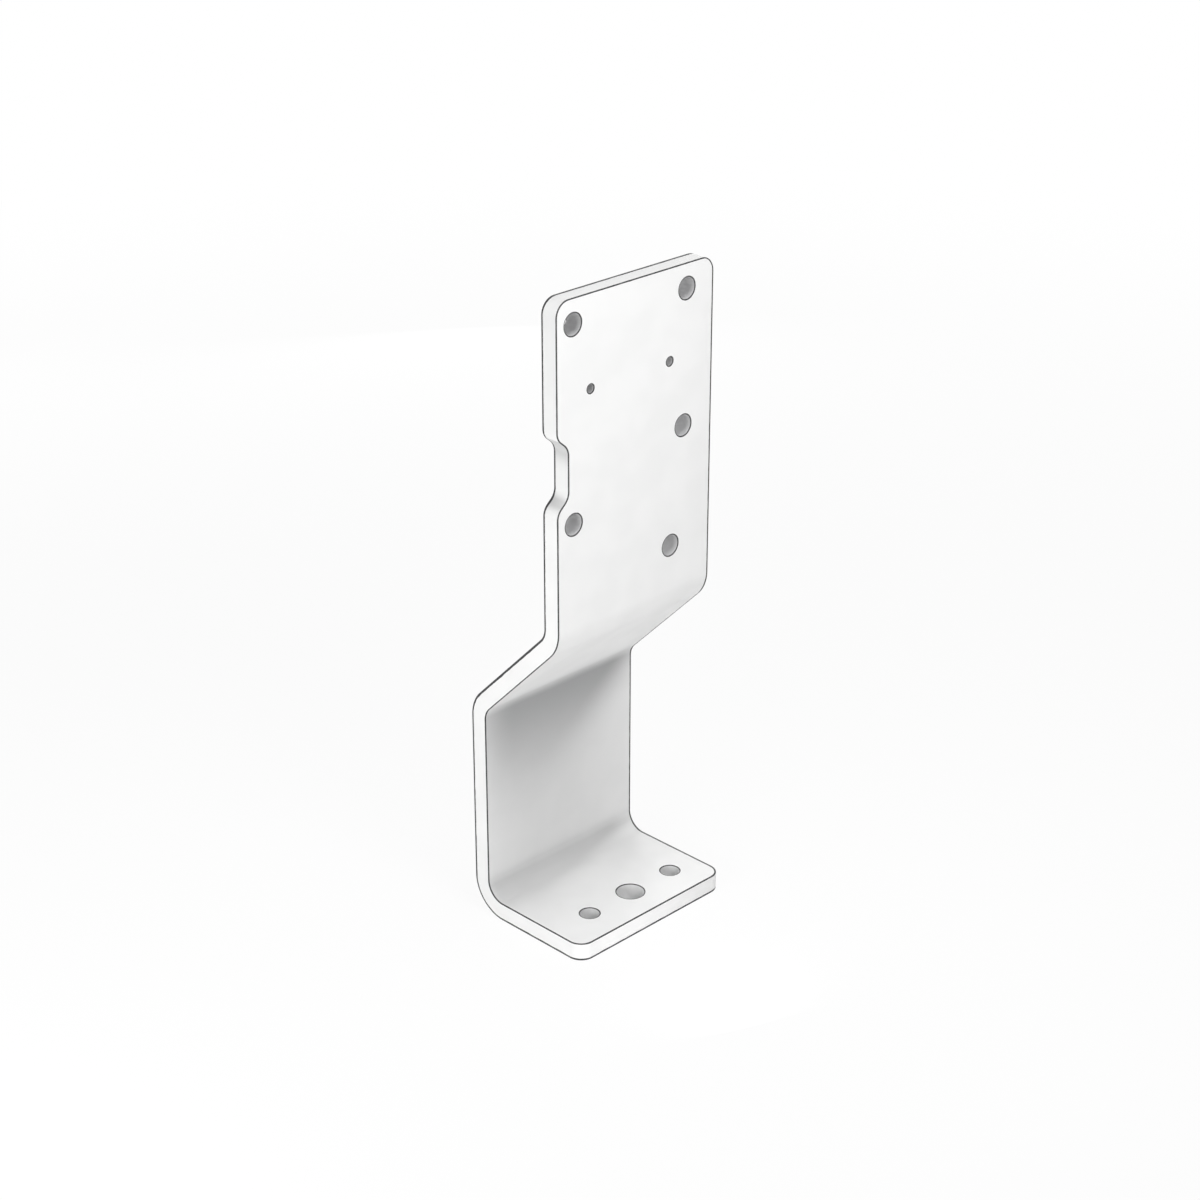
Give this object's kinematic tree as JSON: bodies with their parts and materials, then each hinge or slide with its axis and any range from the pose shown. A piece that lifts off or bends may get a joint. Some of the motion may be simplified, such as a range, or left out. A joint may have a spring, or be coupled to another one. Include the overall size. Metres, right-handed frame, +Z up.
{
  "type": "engine mount bracket",
  "caption": "Bent plate bracket: a drilled foot that rests on a rubber mount, a web, a forward step and a tall upper plate that bolts to an engine.",
  "frame": {"origin": "centre of the foot's stud hole, on the underside of the foot", "axes": "+X along the plate's width to the right seen from the front, +Y from the foot's tip to the web and the back, +Z up from the foot to the top edge of the upper plate"},
  "size_m": [0.079, 0.0587, 0.2598],
  "materials": {
    "white_coat": "white satin powder coat on folded steel plate, with the bores left bare"
  },
  "bodies": {
    "root": {"bracket_plate": "white_coat"}
  },
  "joints": []
}
